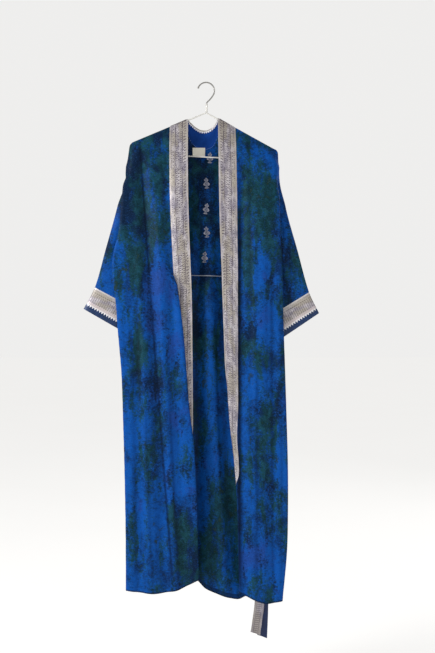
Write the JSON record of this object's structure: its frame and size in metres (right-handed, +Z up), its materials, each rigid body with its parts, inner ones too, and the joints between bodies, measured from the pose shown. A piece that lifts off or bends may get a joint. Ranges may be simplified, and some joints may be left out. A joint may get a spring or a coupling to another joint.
{
  "type": "kimono robe on a wire hanger",
  "caption": "Full-length silk kimono robe in mottled blue with a silver brocade neckband and cuffs and its own sash, hung open at the front on a thin white wire hanger.",
  "frame": {"origin": "inner top of the hanger's hook, where it rests on a rail", "axes": "+Z up, -Y the front of the robe, +X towards the wearer's left side, which is the viewer's right"},
  "size_m": [0.675, 0.069, 1.5958],
  "materials": {
    "silk": "soft sheen, mottled blue and dark green",
    "brocade": "woven silver and lilac, slightly metallic",
    "label": "matt woven tape",
    "coated_wire": "white plastic coat, satin",
    "steel": "zinc grey, smooth"
  },
  "bodies": {
    "root": {"front_right": "silk", "front_left": "silk", "back": "silk", "sleeve_right": "silk", "sleeve_left": "silk", "cuff_right": "brocade", "cuff_left": "brocade", "neckband_right": "brocade", "neckband_left": "brocade", "neckband_back": "brocade", "neck_label": "label", "sash": "brocade", "hanger_frame": "coated_wire", "hanger_collar": "coated_wire", "hanger_hook": "steel"}
  },
  "joints": []
}
